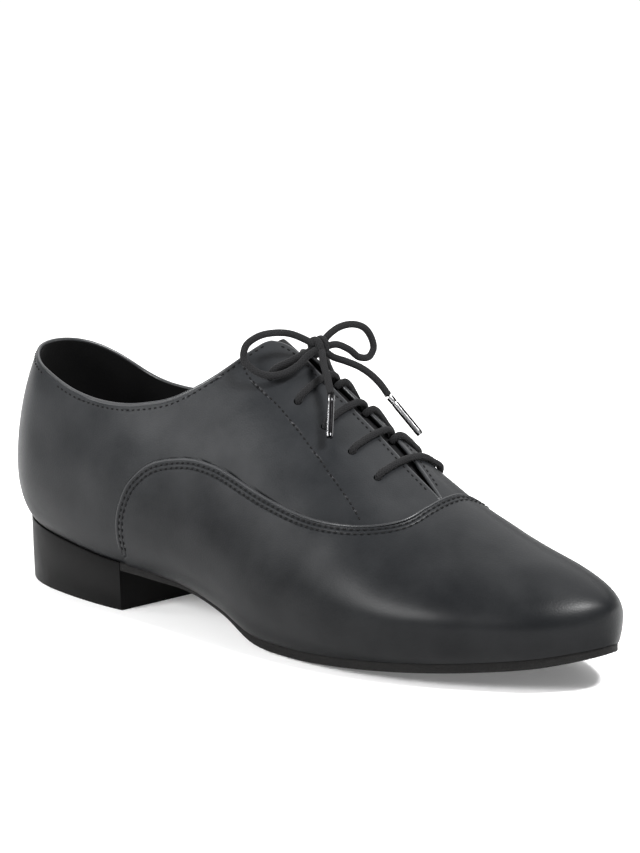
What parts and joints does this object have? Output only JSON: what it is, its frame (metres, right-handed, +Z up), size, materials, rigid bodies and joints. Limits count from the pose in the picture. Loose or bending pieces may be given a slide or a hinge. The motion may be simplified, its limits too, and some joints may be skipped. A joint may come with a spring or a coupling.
{
  "type": "ballroom dance shoe",
  "caption": "Low-heeled lace-up ballroom dance shoe with a smooth black leather upper, thin flexible sole, block heel and a tied bow",
  "frame": {"origin": "on the floor, under the middle of the shoe's box without its bow", "axes": "+X from heel to toe, +Y to the inner side of the foot, +Z up"},
  "size_m": [0.2874, 0.0956, 0.1153],
  "materials": {
    "upper_leather": "smooth, semi-gloss",
    "sole_suede": "rough suede",
    "heel_block": "smooth, semi-gloss",
    "sock": "matt",
    "tongue_leather": "satin",
    "lace": "round waxed braid",
    "lace_tip": "polished"
  },
  "bodies": {
    "root": {"upper": "upper_leather", "outsole": "sole_suede", "heel": "heel_block", "insole": "sock", "tongue": "tongue_leather", "lace_row_1_near": "lace", "lace_row_1_far": "lace", "lace_row_2_near": "lace", "lace_row_2_far": "lace", "lace_row_3_near": "lace", "lace_row_3_far": "lace", "lace_row_4": "lace", "lace_top_near": "lace", "lace_top_far": "lace", "lace_knot": "lace", "lace_loop_near": "lace", "lace_loop_far": "lace", "lace_end_near": "lace", "lace_end_far": "lace", "tip_near": "lace_tip", "tip_far": "lace_tip"}
  },
  "joints": []
}
